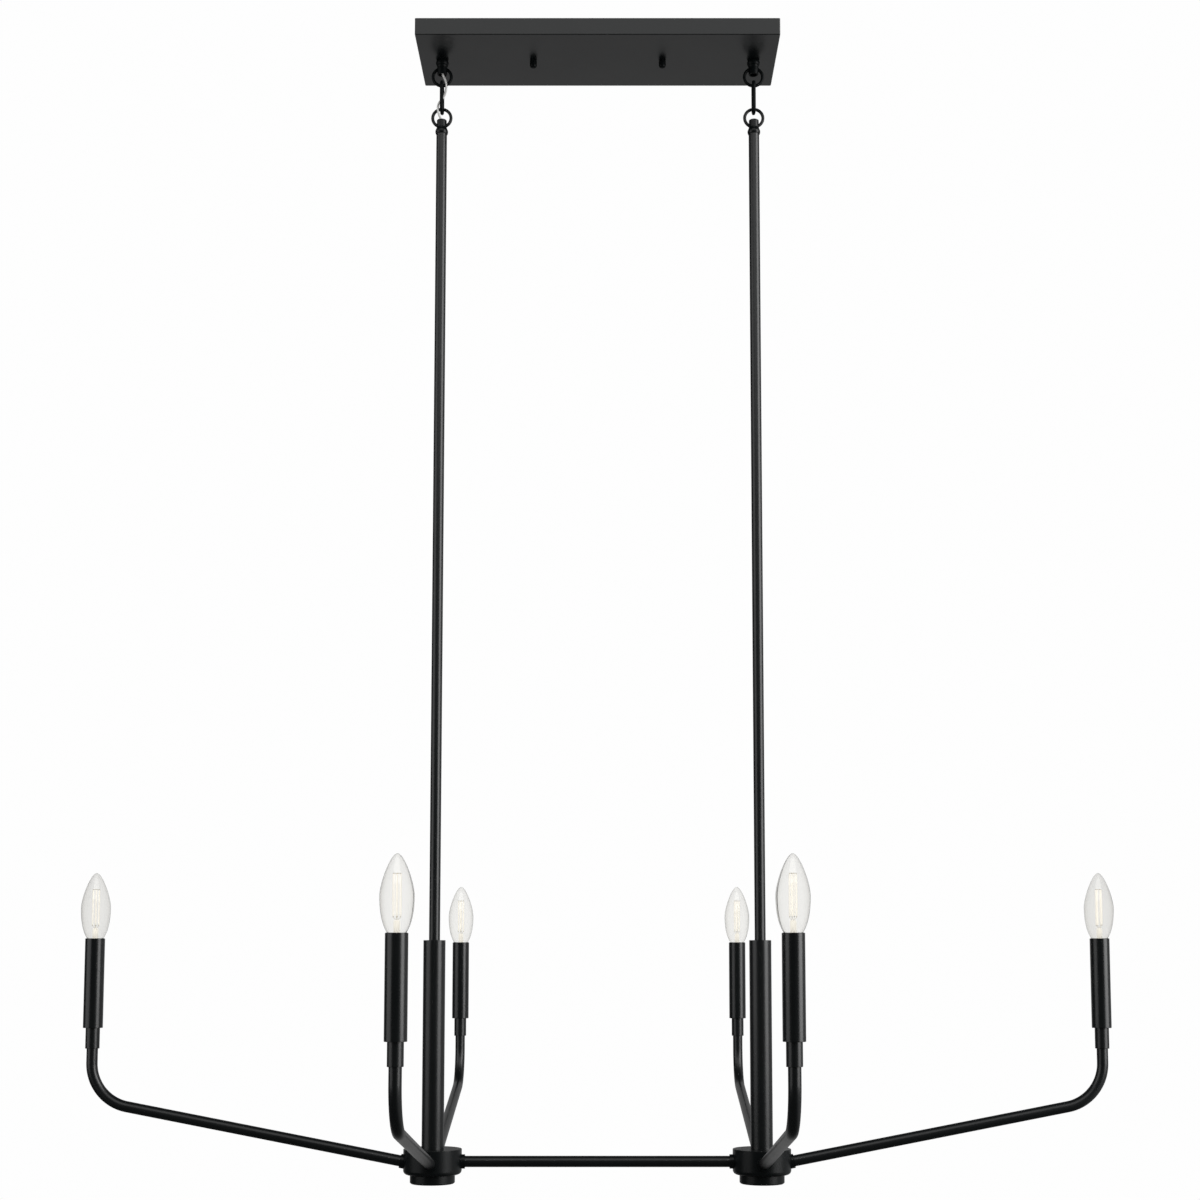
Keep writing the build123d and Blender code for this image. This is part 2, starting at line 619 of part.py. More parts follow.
def frame_wiring():
    """The cord down the left rods, the cable through the bar and one cable to each lamp."""
    cord = cylinder(CORD_RADIUS, Z_CONNECTOR_TOP, CORD_ROUTE[-1][2])
    pieces = [Pos(AXIS_X["left"], 0) * cord]
    half = HUB_SPACING / 2
    bar_cable = Pos(0, 0, Z_HUB_MID) * Rot(0, 90, 0) * cylinder(CABLE_RADIUS, -half, half)
    for block in at_axes(hub_connector()):
        bar_cable -= block
    pieces.append(bar_cable)
    cable = wire_along(arm_line(0, Z_SOCKET_UNDERSIDE), CABLE_RADIUS) - hub_connector()
    arm_cable = cable.solids().sort_by(Axis.X)[-1]
    for side, x in AXIS_X.items():
        pieces += [Pos(x, 0) * Rot(0, 0, turn) * arm_cable for turn in ARM_ANGLES[side].values()]
    return pieces


def hub_connector():
    low = Z_CONNECTOR_TOP - HUB_CONNECTOR_HEIGHT
    return cylinder(HUB_CONNECTOR_RADIUS, low, Z_CONNECTOR_TOP)


# ---- Assembly
def candle_places():
    """Name and centre of each candle, seen from above."""
    for side, x in AXIS_X.items():
        for position, angle in ARM_ANGLES[side].items():
            yield f"{side}_{position}", Pos(x, 0) * Rot(0, 0, angle) * Pos(ARM_REACH, 0)


def at_candles(piece):
    return [place * piece for _, place in candle_places()]


def save_ceiling_side():
    save("canopy_pan", canopy_pan())
    save("mounting_strap", mounting_strap())
    stud = cylinder(STUD_RADIUS, Z_CANOPY_FACE - STUD_TIP, -STUD_RECESS)
    save("strap_studs", *at_studs(stud))
    nut_low = -STRAP_THICK - STUD_NUT_HEIGHT
    save("stud_lock_nuts", *at_studs(
        hex_nut(STUD_NUT_FLATS, STUD_RADIUS + FIT, nut_low, -STRAP_THICK)
    ))
    save("canopy_thumb_nuts", *at_studs(thumb_nut()))
    save("ground_screw", ground_screw())
    floor = Z_CANOPY_FACE + CANOPY_WALL
    nut_low = floor + WASHER_THICK
    nut_high = nut_low + PIPE_NUT_HEIGHT
    pipe_low = Z_CANOPY_FACE - LOOP_THREAD + SEAT
    save("loop_nipples", *at_axes(
        tube(PIPE_RADIUS, PIPE_BORE, pipe_low, nut_high + PIPE_STAND_OUT)
    ))
    save("loop_lock_washers", *at_axes(tube(WASHER_RADIUS, PIPE_HOLE, floor, nut_low)))
    save("loop_hex_nuts", *at_axes(hex_nut(PIPE_NUT_FLATS, PIPE_HOLE, nut_low, nut_high)))
    save("canopy_wiring", *canopy_wiring())
    save("wire_connectors", *wire_connectors())


def save_frame():
    pipes = [copy for pipe in rod_nipples() for copy in at_axes(pipe)]
    save("threaded_nipples", *pipes, *at_candles(candle_pipe()))
    rings = [Pos(x, 0) * ring for side, x in AXIS_X.items() for ring in collars(side)]
    save("tube_collars", *rings)
    save("column_bushings", *[copy for bush in column_bushings() for copy in at_axes(bush)])
    nut_high = Z_HUB_TOP - HUB_WALL
    save("hub_lock_nuts", *at_axes(
        hex_nut(PIPE_NUT_FLATS, PIPE_HOLE, nut_high - PIPE_NUT_HEIGHT, nut_high)
    ))
    save("hub_caps", *at_axes(hub_cap()))
    save("centre_bar", centre_bar())
    save("candle_cups", *at_candles(candle_cup()))
    save("candle_sleeves", *at_candles(candle_sleeve()))
    save("lamp_sockets", *at_candles(lamp_socket()))
    save("frame_wiring", *frame_wiring())
    save("hub_connectors", *at_axes(hub_connector()))


def save_side(side, x):
    place = Pos(x, 0)
    save(f"canopy_loop_{side}", place * canopy_loop())
    save(f"link_{side}", place * chain_link())
    save(f"rod_loop_{side}", place * rod_loop())
    save(f"rods_{side}", *[place * rod_section(number) for number in range(ROD_COUNT)])
    save(f"column_{side}", place * tube(
        COLUMN_RADIUS, COLUMN_RADIUS - COLUMN_WALL, Z_HUB_TOP, Z_COLUMN_TOP
    ))
    save(f"hub_{side}", place * hub(side))
    bent = arm()
    for position, angle in ARM_ANGLES[side].items():
        save(f"arm_{side}_{position}", place * Rot(0, 0, angle) * bent)


def save_lamps():
    glass, base, filaments = lamp_glass(), lamp_base(), filament_set()
    for name, place in candle_places():
        save(f"lamp_glass_{name}", place * glass)
        save(f"lamp_base_{name}", place * base)
        save(f"lamp_filaments_{name}", place * filaments)


os.makedirs("parts", exist_ok=True)
save_ceiling_side()
for half_name, half_cord in zip(("upper", "lower"), cord_halves()):
    save(f"supply_cord_{half_name}", half_cord)
for side_name, side_x in AXIS_X.items():
    save_side(side_name, side_x)
save_frame()
save_lamps()
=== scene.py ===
import json
from math import cos, pi, radians, sin, tan

import bpy
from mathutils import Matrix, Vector


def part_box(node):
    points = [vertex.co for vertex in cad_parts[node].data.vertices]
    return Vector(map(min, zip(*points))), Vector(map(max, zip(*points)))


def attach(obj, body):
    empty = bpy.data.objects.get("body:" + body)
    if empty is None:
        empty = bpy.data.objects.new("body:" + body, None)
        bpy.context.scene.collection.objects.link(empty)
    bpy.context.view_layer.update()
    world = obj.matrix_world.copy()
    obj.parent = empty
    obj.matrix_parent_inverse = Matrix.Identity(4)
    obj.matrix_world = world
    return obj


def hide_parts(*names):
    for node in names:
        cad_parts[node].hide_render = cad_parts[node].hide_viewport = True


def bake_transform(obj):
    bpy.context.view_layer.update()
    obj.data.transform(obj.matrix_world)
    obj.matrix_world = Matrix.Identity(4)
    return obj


# Six-light linear island pendant, in metres, Z up.
# The ceiling plane is at height 0 and the front is -Y.
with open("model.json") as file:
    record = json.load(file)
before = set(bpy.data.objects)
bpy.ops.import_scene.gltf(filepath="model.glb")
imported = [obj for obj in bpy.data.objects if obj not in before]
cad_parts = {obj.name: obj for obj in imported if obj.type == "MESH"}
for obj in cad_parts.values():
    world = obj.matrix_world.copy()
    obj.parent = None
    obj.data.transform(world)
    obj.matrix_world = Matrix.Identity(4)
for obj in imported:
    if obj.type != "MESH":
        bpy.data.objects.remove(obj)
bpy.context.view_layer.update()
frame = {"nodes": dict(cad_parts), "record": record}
NODES = frame["nodes"]
BODIES = frame["record"]["behaviour"]["bodies"]
MM = 0.001
CORNER_ANGLE = 38           # degrees, faces that meet more sharply stay apart in the shading
MERGE_DISTANCE = 1e-6       # corners nearer to each other than this become one
NEARLY_ALONG = 0.9          # cosine past which a tube's line is too near its first side's way
BAR_SOFTNESS = 0.4          # share of a bar's radius that its ends lose to rounding

# ---- The camera
CAMERA_LENS = 56.55         # millimetres
CAMERA_SHIFT = (-0.0067, 0.15)
CAMERA_TILT = 5.5913        # degrees, looking up
CAMERA_PLACE = (0.01167, -2.0654, -1.0475)

# ---- The free cord: offset from the left axis, depth front to back, height, in millimetres
CORD_ROUTE = [
    (0.0, 0.0, -29.5),
    (0.0, 0.0, -35.0),
    (4.4, -4.3, -44.5),
    (5.6, -4.6, -54.5),
    (2.2, -0.9, -62.8),
    (-2.4, -0.3, -67.4),
    (-4.6, -4.4, -74.8),
    (-3.9, -3.6, -82.8),
    (0.0, 0.0, -90.8),
    (0.0, 0.0, -96.0),
]
CORD_SPLIT = 5              # the cord is divided halfway along the run that ends at this point
CORD_RADIUS = 1.2 * MM
CORD_SIDES = 20
CORD_STEPS = 12             # points along each run of the spline
CORD_LAY = 35               # degrees, how far the strands turn away from the cord's run
LEFT_AXIS_X = -0.1778

# ---- Lamps, in millimetres from the sleeve's rim
LAMP_TIP = 71.4
GLASS_WIDEST = 32.9
GLASS_RADIUS = 15.8
GLASS_WALL = 0.25
GLASS_RIM_RADIUS = 8.9
GLASS_NECK_RADIUS = 6.6
GLASS_NECK_HEIGHT = -7.4    # of the glass's lower end
TIP_HANDLE = 0.39
SHOULDER_HANDLE = 0.31
BELLY_HANDLE = 0.71
TAPER_HANDLE = 0.06
GLASS_STEPS = 36            # rows along each of the two curves of the glass
GLASS_SIDES = 96
MOUNT_RADIUS = 2.9
MOUNT_TOP = 11.6
MOUNT_ARC = (0, 20, 45, 70, 90)     # degrees, from the top of the mount's dome to its side
MOUNT_FLATNESS = 0.6        # the dome's height as a share of its radius
MOUNT_FLARE = (4, 0, -4)    # heights on the mount's side that shape the flare of its foot
MOUNT_FLARE_STEPS = 10
MOUNT_FOOT = 5.2            # radius
MOUNT_GAP = 0.05            # between the mount and the glass under it
MOUNT_SIDES = 48
# painted glow of the glass mount, which makes no light of its own
MOUNT_PAINTED_GLOW = 0.5
FILAMENT_COUNT = 4
FILAMENT_TURN = 12.0        # degrees, from the X axis to the first filament
FILAMENT_CIRCLE = 3.2
FILAMENT_RADIUS = 0.75
FILAMENT_SPAN = (15.0, 52.6)    # height of the lower and the upper end
FILAMENT_SIDES = 20
# painted glow of the filaments, beyond what the room's light gives them
FILAMENT_PAINTED_GLOW = 0.45
TAB_RADIUS = 0.42           # the metal ends of a filament
TAB_LENGTH = 2.2
TAB_SIDES = 12
LEAD_RADIUS = 0.18
LEAD_SIDES = 8
LEAD_ROUTE = [(3.2, 15.0), (3.2, 13.6), (1.5, 12.2), (1.5, 7.0)]    # radius, height
RING_HEIGHT = 53.4          # the ring of wire that joins the upper ends
RING_STEPS = 12             # in the share of the ring that goes with one filament

# ---- Bent arms, in millimetres
ARM_REACH = 370.5           # from a hub's axis to a candle's axis
ARM_START = 27.0            # the arm's inner end, from the hub's axis
ARM_SLOPE = 11.0            # degrees
ARM_BEND = 48.0
ARM_BEND_STEPS = 40
ARM_RADIUS = 6.0
ARM_SIDES = 64
HUB_RADIUS = 31.5
ARM_TURNS = {
    "left_end": 180, "left_front": -90, "left_back": 90,
    "right_end": 0, "right_front": -90, "right_back": 90,
}

# ---- Nuts under the canopy, in millimetres from its face
NUT_RADIUS = 4.0            # over the knurls
NUT_HEIGHT = 8.5
NUT_CHAMFER = 0.5
NUT_DOME = [                # inset from its side, height over its lower end
    (0, 2.2), (0.35, 1.2), (1.0, 0.45), (1.8, 0.1), (2.4, 0),
]
NUT_SIDES = 48
KNURL_COUNT = 24
KNURL_RADIUS = 0.35
KNURL_RELIEF = 0.6          # share of a knurl's radius that stands out of the nut
KNURL_TOP = 0.7             # from the nut's upper end down to the knurls
KNURL_FOOT = 2.4            # from the nut's lower end up to the knurls
KNURL_SIDES = 8

# ---- Colours, as shares of red, green and blue
PAINT_SHADES = ((0.0022, 0.0033, 0.0036), (0.0032, 0.0047, 0.0052))
CREAM_SHADES = ((0.96, 0.91, 0.80), (1.0, 0.97, 0.90))
STRAND_SHADES = ((0.62, 0.62, 0.60), (0.76, 0.75, 0.73))
GLASS_FACE = (0.99, 0.988, 0.982)       # seen squarely
# the colour below is a painted rim shade, which the glass's tint darkens to where it is seen along
# its wall
GLASS_RIM = (0.70, 0.69, 0.68)          # seen along its wall
GLASS_DEPTH = (0.78, 0.775, 0.73)       # what passes through its thickness
GLASS_DENSITY = 600.0                   # of that colour, for each metre
BASE_METAL = (0.78, 0.72, 0.60)
ZINC = (0.62, 0.62, 0.60)
SCREW_GREEN = (0.03, 0.22, 0.06)
SOCKET_BLACK = (0.02, 0.02, 0.02)
CONNECTOR_ORANGE = (0.75, 0.28, 0.05)
WIRE_GREY = (0.55, 0.55, 0.53)

# ---- Stage
FLOOR_HEIGHT = -2.44        # a common room height under the ceiling
FLOOR_REACH = 3.6
FLOOR_SIDES = 96
FLOOR_FADE = (2.0, 3.4)     # distances from the middle between which it fades out
FLOOR_GLOW = 0.42           # what the camera sees of the floor beyond its own light
ROOM_LIGHT = 0.3
WHITE_LEVEL = 0.99
# what gloss shows of the studio: its dark part, the wall behind the pendant, the wall at its right
DARK_LEVEL = 0.035
FAR_LEVEL = 0.33
FAR_SPAN = (0.6, 0.95)
SIDE_LEVEL = 0.28
SIDE_SPAN = (0.5, 0.85)
# what glass shows of the white wall behind it: all of it in the middle, less towards its ends
WALL_END_LEVEL = 0.84
WALL_END_SPAN = (0.12, 0.27)


# ---- Node trees
class Socket:
    """The output of a node, on which sums are written as plain expressions."""

    def __init__(self, tree, output):
        self.tree = tree
        self.output = output

    def sum(self, operation, *values):
        return self.tree.node("ShaderNodeMath", {"operation": operation}, enumerate(values))

    def __add__(self, other):
        return self.sum("ADD", self, other)

    def __sub__(self, other):
        return self.sum("SUBTRACT", self, other)

    def __rsub__(self, other):
        return self.sum("SUBTRACT", other, self)

    def __mul__(self, other):
        return self.sum("MULTIPLY", self, other)

    def __rtruediv__(self, other):
        return self.sum("DIVIDE", other, self)

    def __abs__(self):
        return self.sum("ABSOLUTE", self)

    __radd__ = __add__
    __rmul__ = __mul__


class Tree:
    """A node tree of a finish or of a shape."""

    def __init__(self, tree):
        self.tree = tree

    def node(self, kind, settings=(), inputs=(), output=0):
        """Adds a node: its settings first, then values or links for inputs, by name or place."""
        node = self.tree.nodes.new(kind)
        for setting, value in dict(settings).items():
            setattr(node, setting, value)
        for key, value in dict(inputs).items():
            self.feed(node.inputs[key], value)
        return Socket(self, node.outputs[output])

    def feed(self, entry, value):
        if isinstance(value, Socket):
            self.tree.links.new(value.output, entry)
        else:
            entry.default_value = value

    def step(self, value, span, before, after):
        """Goes smoothly from one level to another while a value crosses a span."""
        return self.node("ShaderNodeMapRange", {"interpolation_type": "SMOOTHSTEP"}, {
            "Value": value, "From Min": span[0], "From Max": span[1],
            "To Min": before, "To Max": after,
        })


class Finish(Tree):
    """A material with one Principled shader, set by constants, and by links where it varies."""

    def __init__(self, name, constants):
        self.material = bpy.data.materials.new(name)
        self.material.use_nodes = True
        super().__init__(self.material.node_tree)
        self.shader = self.tree.nodes["Principled BSDF"]
        self.place = self.node("ShaderNodeTexCoord", output="Object")
        self.set(constants)

    def set(self, inputs):
        for key, value in inputs.items():
            self.feed(self.shader.inputs[key], value)

    def noise(self, grain, detail):
        """Noise from 0 to 1 whose grain has a size in metres."""
        return self.node("ShaderNodeTexNoise", {}, {
            "Vector": self.place, "Scale": 1 / grain, "Detail": detail,
        })

    def shade(self, factor, dark, light):
        """A colour between two others. Places 6, 7 and 2 are the colour sockets of a Mix node."""
        return self.node("ShaderNodeMix", {"data_type": "RGBA"}, {
            0: factor, 6: (*dark, 1), 7: (*light, 1),
        }, output=2)

    def clouded(self, cloud, tint, darkest):
        """A tint that a cloud darkens, down to a share of itself."""
        return self.shade(cloud, [part * darkest for part in tint], tint)

    def bump(self, height, depth, strength):
        """A relief whose height, from 0 to 1, stands for a depth in metres."""
        return self.node("ShaderNodeBump", {}, {
            "Height": height, "Distance": depth, "Strength": strength,
        })


class Shape(Tree):
    """A geometry tree with named inputs, whose result becomes the plain mesh of a piece."""

    def __init__(self, name, entries):
        super().__init__(bpy.data.node_groups.new(name, "GeometryNodeTree"))
        sockets = self.tree.interface
        sockets.new_socket("Result", in_out="OUTPUT", socket_type="NodeSocketGeometry")
        self.keys = {}
        for entry, kind in {**entries, "Finish": "Material"}.items():
            socket = sockets.new_socket(entry, in_out="INPUT", socket_type=f"NodeSocket{kind}")
            self.keys[entry] = socket.identifier
        self.entries = self.tree.nodes.new("NodeGroupInput")

    def given(self, entry):
        return Socket(self, self.entries.outputs[entry])

    def close(self, geometry):
        """Ends the tree with real geometry that has its finish."""
        real = self.node("GeometryNodeRealizeInstances", {}, {"Geometry": geometry})
        merged = self.node("GeometryNodeMergeByDistance", {}, {
            "Geometry": real, "Distance": MERGE_DISTANCE,
        })
        finished = self.node("GeometryNodeSetMaterial", {}, {
            "Geometry": merged, "Material": self.given("Finish"),
        })
        self.feed(self.tree.nodes.new("NodeGroupOutput").inputs["Result"], finished)

    def make(self, name, mesh, sizes):
        """Runs the tree on a mesh and gives back the object, plain again."""
        piece = bpy.data.objects.new(name, mesh)
        bpy.context.scene.collection.objects.link(piece)
        modifier = piece.modifiers.new("shape", "NODES")
        modifier.node_group = self.tree
        for entry, value in sizes.items():
            modifier[self.keys[entry]] = value
        seen = piece.evaluated_get(bpy.context.evaluated_depsgraph_get())
        result = bpy.data.meshes.new_from_object(seen)
        piece.modifiers.remove(modifier)
        piece.data = result
        return piece


# ---- Finishes
def painted_steel(name, roughness, gloss_index=1.6):
    """Satin black paint: a fine orange peel, and a faint change of gloss over the surface."""
    paint = Finish(name, {"IOR": gloss_index})
    peel = paint.noise(grain=1.4 * MM, detail=2)
    grit = paint.noise(grain=0.35 * MM, detail=1)
    cloud = paint.noise(grain=60 * MM, detail=3)
    paint.set({
        "Base Color": paint.shade(cloud, *PAINT_SHADES),
        "Roughness": roughness + (cloud - 0.5) * 0.08 + (grit - 0.5) * 0.06,
        "Normal": paint.bump(peel * 0.7 + grit * 0.3, depth=0.012 * MM, strength=0.5),
    })
    return paint.material


def plated_steel(name, tint, roughness):
    plate = Finish(name, {"Metallic": 1.0})
    cloud = plate.noise(grain=9 * MM, detail=4)
    brushed = plate.noise(grain=0.6 * MM, detail=3)
    plate.set({
        "Base Color": plate.clouded(cloud, tint, darkest=0.82),
        "Roughness": roughness + (cloud - 0.5) * 0.2 + (brushed - 0.5) * 0.15,
        "Normal": plate.bump(brushed, depth=0.02 * MM, strength=0.4),
    })
    return plate.material


def moulded_plastic(name, tint, roughness):
    plastic = Finish(name, {"IOR": 1.48})
    cloud = plastic.noise(grain=12 * MM, detail=2)
    grain = plastic.noise(grain=0.5 * MM, detail=2)
    plastic.set({
        "Base Color": plastic.clouded(cloud, tint, darkest=0.85),
        "Roughness": roughness + (grain - 0.5) * 0.15,
        "Normal": plastic.bump(grain, depth=0.03 * MM, strength=0.5),
    })
    return plastic.material


def clear_glass():
    """Thin clear glass, whose tint a painted shade greys where it is seen along its wall."""
    glass = Finish("clear_glass", {
        "Transmission Weight": 1.0, "IOR": 1.5, "Roughness": 0.0,
    })
    # painted shade: the tint darkens towards the rim by the angle of view, a little unevenly
    slant = glass.node("ShaderNodeLayerWeight", {}, {"Blend": 0.5}, output="Facing")
    rim_shade_wobble = glass.noise(grain=18 * MM, detail=2)
    rim = slant * slant * (0.92 + rim_shade_wobble * 0.16)
    glass.set({"Base Color": glass.shade(rim, GLASS_FACE, GLASS_RIM)})
    depth = glass.node("ShaderNodeVolumeAbsorption", {}, {
        "Color": (*GLASS_DEPTH, 1), "Density": GLASS_DENSITY,
    })
    glass.feed(glass.tree.nodes["Material Output"].inputs["Volume"], depth)
    return glass.material


def cream_with_painted_glow(name, glow):
    """The filaments' phosphor and the glass mount under them, with a painted glow that makes them
    brighter than the room's light does.
    """
    coat = Finish(name, {"IOR": 1.45, "Emission Strength": glow})
    grain = coat.noise(grain=0.5 * MM, detail=2)
    tint = coat.shade(grain, *CREAM_SHADES)
    coat.set({
        "Base Color": tint,
        "Emission Color": tint,
        "Roughness": 0.5 + grain * 0.1,
        "Normal": coat.bump(grain, depth=0.05 * MM, strength=0.5),
    })
    return coat.material


def cord_jacket():
    """Clear plastic over tinned strands that turn slowly along the cord."""
    jacket = Finish("cord_jacket", {"IOR": 1.5, "Coat Weight": 0.5, "Coat Roughness": 0.12})
    along = jacket.node("ShaderNodeUVMap")
    lay = jacket.node("ShaderNodeMapping", {}, {
        "Vector": along, "Rotation": (0, 0, radians(CORD_LAY)),
    })
    strands = jacket.node("ShaderNodeTexWave", {}, {
        "Vector": lay, "Scale": 2.4, "Distortion": 0.6, "Detail": 1.0,
    })
    jacket.set({
        "Base Color": jacket.shade(strands, *STRAND_SHADES),
        "Roughness": 0.34 + strands * 0.1,
        "Normal": jacket.bump(strands, depth=0.02 * MM, strength=0.4),
    })
    return jacket.material


# ---- Shapes
def plain_mesh(name, vertices, faces=(), edges=()):
    mesh = bpy.data.meshes.new(name)
    mesh.from_pydata(vertices, edges, faces)
    mesh.update()
    return mesh


def add_piece(name, vertices, faces, body, slot):
    piece = bpy.data.objects.new(name, plain_mesh(name, vertices, faces))
    bpy.context.scene.collection.objects.link(piece)
    return settle(piece, body)


def settle(piece, body):
    """Smooths a piece but for its corners, and names its body."""
    piece.data.shade_smooth()
    piece.data.set_sharp_from_angle(angle=radians(CORNER_ANGLE))
    if body:
        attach(piece, body)
    return piece


def turned(outline, sides, centre):
    """A closed surface about the vertical line through a centre, from (radius, height) corners.

    The outline starts and ends on the axis. Read downwards, its faces point away from the axis.
    """
    x, y, z = centre
    rows = outline[1:-1]
    vertices = [(x, y, z + outline[0][1])]
    for radius, height in rows:
        for side in range(sides):
            angle = 2 * pi * side / sides
            vertices.append((x + radius * cos(angle), y + radius * sin(angle), z + height))
    vertices.append((x, y, z + outline[-1][1]))
    last, foot = len(vertices) - 1, 1 + (len(rows) - 1) * sides
    faces = []
    for side in range(sides):
        after = (side + 1) % sides
        faces.append((0, 1 + side, 1 + after))
        faces.append((last, foot + after, foot + side))
        for row in range(len(rows) - 1):
            upper = 1 + row * sides
            lower = upper + sides
            faces.append((upper + side, lower + side, lower + after, upper + after))
    return vertices, faces


def tube(line, radius, sides, closed_ends=True):
    """A round tube along the points of a line."""
    vertices, faces = [], []
    across = Vector((1, 0, 0))
    for number, point in enumerate(line):
        ahead = (line[min(number + 1, len(line) - 1)] - line[max(number - 1, 0)]).normalized()
        if abs(ahead.dot(across)) > NEARLY_ALONG:
            across = Vector((0, 1, 0))
        across = (across - ahead * across.dot(ahead)).normalized()
        over = ahead.cross(across)
        for side in range(sides):
            angle = 2 * pi * side / sides
            vertices.append(point + (across * cos(angle) + over * sin(angle)) * radius)
    for row in range(len(line) - 1):
        for side in range(sides):
            after = (side + 1) % sides
            a, b = row * sides, (row + 1) * sides
            faces.append((a + side, a + after, b + after, b + side))
    if closed_ends:
        faces.append(tuple(reversed(range(sides))))
        faces.append(tuple(range(len(vertices) - sides, len(vertices))))
    return vertices, faces


def joined(*shapes):
    """Several (vertices, faces) shapes as one."""
    vertices, faces = [], []
    for more_vertices, more_faces in shapes:
        start = len(vertices)
        vertices += more_vertices
        faces += [tuple(start + corner for corner in face) for face in more_faces]
    return vertices, faces


def bezier(points, steps):
    """Points along a cubic curve, without its last."""
    a, b, c, d = (Vector(point) for point in points)
    curve = []
    for step in range(steps):
        t = step / steps
        u = 1 - t
        curve.append(a * u**3 + b * 3 * u * u * t + c * 3 * u * t * t + d * t**3)
    return curve


# ---- Camera
def add_camera():
    camera = bpy.data.objects.new("camera", bpy.data.cameras.new("camera"))
    bpy.context.scene.collection.objects.link(camera)
    camera.data.lens = CAMERA_LENS
    camera.data.shift_x, camera.data.shift_y = CAMERA_SHIFT
    camera.location = CAMERA_PLACE
    camera.rotation_euler = (radians(90 + CAMERA_TILT), 0, 0)
    bpy.context.scene.camera = camera


# ---- The free cord
def cord_points():
    """The route's points, in metres, for the upper and the lower half."""
    points = [Vector((LEFT_AXIS_X + x * MM, y * MM, z * MM)) for x, y, z in CORD_ROUTE]
    middle = (points[CORD_SPLIT - 1] + points[CORD_SPLIT]) / 2
    return [*points[:CORD_SPLIT], middle], [middle, *points[CORD_SPLIT:]]


def smooth_line(points):
    """The points that a smooth spline through the route follows."""
    curve = bpy.data.curves.new("cord_line", "CURVE")
    curve.dimensions = "3D"
    spline = curve.splines.new("NURBS")
    spline.points.add(len(points) - 1)
    for place, point in zip(spline.points, points):
        place.co = (*point, 1)
    spline.order_u = 3
    spline.use_endpoint_u = True
    spline.resolution_u = CORD_STEPS
    holder = bpy.data.objects.new("cord_line", curve)
    bpy.context.scene.collection.objects.link(holder)
    line = bpy.data.meshes.new_from_object(holder)
    places = [vertex.co.copy() for vertex in line.vertices]
    bpy.data.objects.remove(holder)
    return places


def cord_tube(name, line, material):
    """The cord's tube, with its turns and its length as a UV map."""
    sides = CORD_SIDES
    piece = add_piece(name, *tube(line, CORD_RADIUS, sides), None, "cord_jacket")
    runs = [0.0]
    for start, end in zip(line, line[1:]):
        runs.append(runs[-1] + (end - start).length)
    layer = piece.data.uv_layers.new(name="along_the_cord")
    for face in piece.data.polygons:
        corners = [piece.data.loops[i].vertex_index for i in face.loop_indices]
        # the last strip of faces goes back to the first side, which counts there as a whole turn
        wraps = len(corners) == 4 and {corner % sides for corner in corners} == {0, sides - 1}
        for i, corner in zip(face.loop_indices, corners):
            row, side = divmod(corner, sides)
            turn = 1 if wraps and side == 0 else side / sides
            layer.data[i].uv = (turn, runs[row] / (2 * pi * CORD_RADIUS))
    piece.data.materials.append(material)
    return piece


def add_cord(material):
    bodies = ("ceiling_assembly", "chain_link_left", "hanging_frame")
    for number, (half, points) in enumerate(zip(("upper", "lower"), cord_points())):
        line = smooth_line(points)
        piece = cord_tube(f"cord_{half}_half", line, material)
        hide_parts(f"supply_cord_{half}")
        bodies[number + 1]
        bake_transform(piece)


# ---- Lamps
def glass_wall(inset):
    """The glass's profile from its tip to its neck, taken in by a wall, in millimetres."""
    tip = Vector((0, LAMP_TIP - inset))
    widest = Vector((GLASS_RADIUS - inset, GLASS_WIDEST))
    rim = Vector((GLASS_RIM_RADIUS - inset, 0))
    neck = Vector((GLASS_NECK_RADIUS - inset, GLASS_NECK_HEIGHT + inset))
    rise = Vector((0, tip.y - widest.y))
    fall = Vector((0, widest.y))
    taper = (rim - neck).normalized() * widest.y
    above_tip = tip + Vector((widest.x * TIP_HANDLE, 0))
    shoulder = widest + rise * SHOULDER_HANDLE
    belly = widest - fall * BELLY_HANDLE
    upper = bezier((tip, above_tip, shoulder, widest), GLASS_STEPS)
    lower = bezier((widest, belly, rim + taper * TAPER_HANDLE, rim), GLASS_STEPS)
    return [*upper, *lower, rim, neck]


def lamp_glass_shape(centre):
    """The glass's outer surface and its hollow."""
    floor = GLASS_NECK_HEIGHT
    outer = [*glass_wall(0), Vector((0, floor))]
    hollow = [Vector((0, floor + GLASS_WALL)), *reversed(glass_wall(GLASS_WALL))]
    return joined(*[
        turned([(point.x * MM, point.y * MM) for point in outline], GLASS_SIDES, centre)
        for outline in (outer, hollow)
    ])


def glass_mount_shape(centre):
    """The pressed glass that holds the leads in the bulb's neck: a dome on a flared foot."""
    foot = GLASS_NECK_HEIGHT + GLASS_WALL + MOUNT_GAP
    dome_height = MOUNT_RADIUS * MOUNT_FLATNESS
    dome = [
        (MOUNT_RADIUS * sin(angle), MOUNT_TOP - dome_height * (1 - cos(angle)))
        for angle in map(radians, MOUNT_ARC)
    ]
    side = [(MOUNT_RADIUS, height) for height in MOUNT_FLARE]
    flare = bezier((*side, (MOUNT_FOOT, foot)), MOUNT_FLARE_STEPS)
    outline = [*dome, *[tuple(point) for point in flare], (MOUNT_FOOT, foot), (0, foot)]
    return turned([(x * MM, z * MM) for x, z in outline], MOUNT_SIDES, centre)


def bar_shape(distance, radius, low, high, sides):
    """An upright round bar with softened ends, at a distance from the axis."""
    soft = radius * BAR_SOFTNESS
    outline = [
        (0, high), (radius - soft, high), (radius, high - soft),
        (radius, low + soft), (radius - soft, low), (0, low),
    ]
    return turned(outline, sides, (distance, 0, 0))


def filament_bar():
    low, high = (height * MM for height in FILAMENT_SPAN)
    return bar_shape(FILAMENT_CIRCLE * MM, FILAMENT_RADIUS * MM, low, high, FILAMENT_SIDES)


